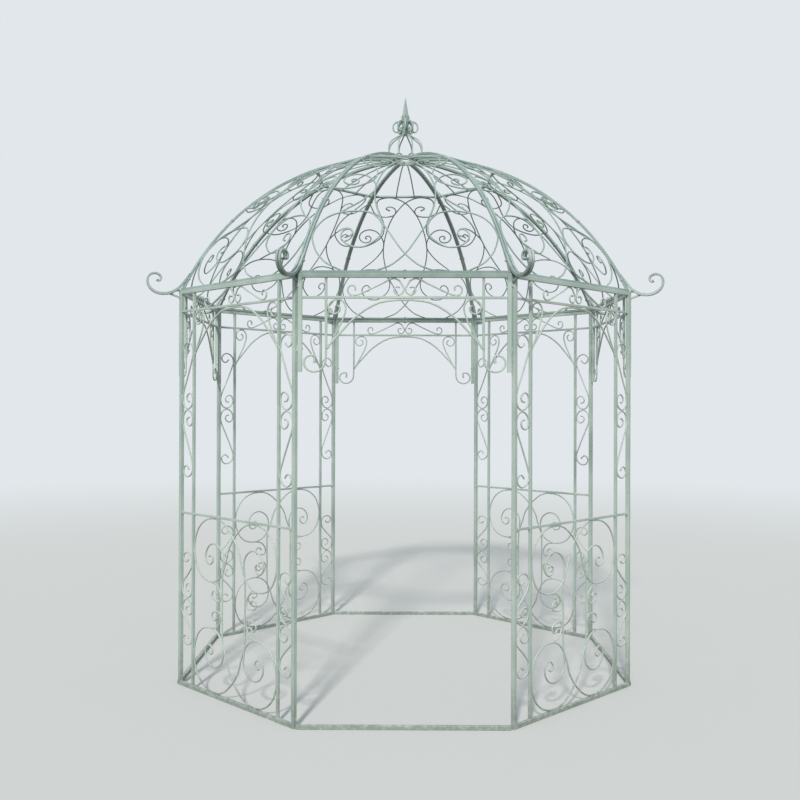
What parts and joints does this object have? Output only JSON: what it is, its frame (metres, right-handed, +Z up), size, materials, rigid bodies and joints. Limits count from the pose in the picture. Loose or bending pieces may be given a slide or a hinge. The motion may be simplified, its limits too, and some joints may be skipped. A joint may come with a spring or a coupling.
{
  "type": "garden gazebo",
  "caption": "Octagonal open garden pavilion in welded painted iron, scrolled side screens, arched doorways and a scrollwork dome with a finial.",
  "frame": {"origin": "on the ground at the centre of the plan", "axes": "+Z up along the axis of the dome, the front doorway faces -Y, right is +X"},
  "size_m": [2.7468, 2.7468, 3.2998],
  "materials": {
    "frame_paint": "weathered matt paint",
    "scrollwork_paint": "weathered matt paint",
    "roof_paint": "weathered matt paint",
    "ornament_paint": "weathered matt paint"
  },
  "bodies": {
    "root": {"right_front_screen": "frame_paint", "right_back_screen": "frame_paint", "left_back_screen": "frame_paint", "left_front_screen": "frame_paint", "right_front_scrolls": "scrollwork_paint", "right_back_scrolls": "scrollwork_paint", "left_back_scrolls": "scrollwork_paint", "left_front_scrolls": "scrollwork_paint", "right_front_low_screen": "scrollwork_paint", "right_back_low_screen": "scrollwork_paint", "left_back_low_screen": "scrollwork_paint", "left_front_low_screen": "scrollwork_paint", "front_doorway": "frame_paint", "right_doorway": "frame_paint", "back_doorway": "frame_paint", "left_doorway": "frame_paint", "front_doorway_scrolls": "scrollwork_paint", "right_doorway_scrolls": "scrollwork_paint", "back_doorway_scrolls": "scrollwork_paint", "left_doorway_scrolls": "scrollwork_paint", "front_sill": "frame_paint", "right_sill": "frame_paint", "back_sill": "frame_paint", "left_sill": "frame_paint", "front_roof_panel": "roof_paint", "right_front_roof_panel": "roof_paint", "right_roof_panel": "roof_paint", "right_back_roof_panel": "roof_paint", "back_roof_panel": "roof_paint", "left_back_roof_panel": "roof_paint", "left_roof_panel": "roof_paint", "left_front_roof_panel": "roof_paint", "crown_ring": "ornament_paint", "corner_scrolls": "scrollwork_paint", "finial": "ornament_paint"}
  },
  "joints": []
}
